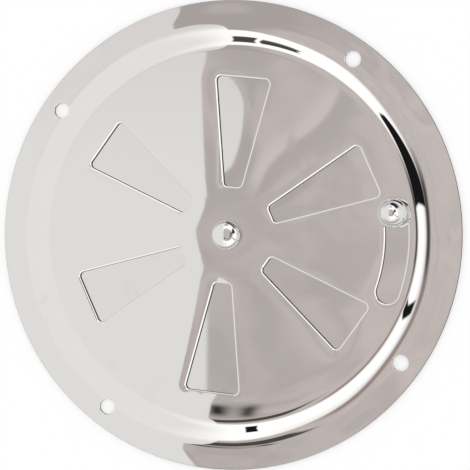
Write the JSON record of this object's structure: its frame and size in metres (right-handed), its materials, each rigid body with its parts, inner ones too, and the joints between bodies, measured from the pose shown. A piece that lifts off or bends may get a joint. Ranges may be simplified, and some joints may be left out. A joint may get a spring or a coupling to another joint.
{
  "type": "round vent cover",
  "caption": "Round ventilation cover in polished stainless steel, with wedge openings and a turning shutter behind them that a small ball knob in a curved slot opens and shuts.",
  "frame": {"origin": "centre of the flange's back face, on the turning axis of the shutter", "axes": "+Z out of the front face; the screw holes lie on the X and Y axes, and the knob's slot is centred 300 degrees round from +X"},
  "size_m": [0.125, 0.125, 0.0109],
  "materials": {
    "polished_sheet": "mirror polished stainless sheet",
    "shutter_sheet": "polished stainless sheet",
    "turned_steel": "polished turned stainless",
    "plain_steel": "plain stainless washer"
  },
  "bodies": {
    "cover": {"face_plate": "polished_sheet", "centre_rivet": "turned_steel", "bowed_washer": "plain_steel"},
    "shutter": {"shutter_disc": "shutter_sheet", "shutter_knob": "turned_steel"}
  },
  "joints": [
    {"name": "shutter_turn", "type": "hinge", "parent": "cover", "child": "shutter", "pos_m": [0, 0, 0.00125], "axis": [0, 0, 1], "range_deg": [-26.4, 0]}
  ]
}
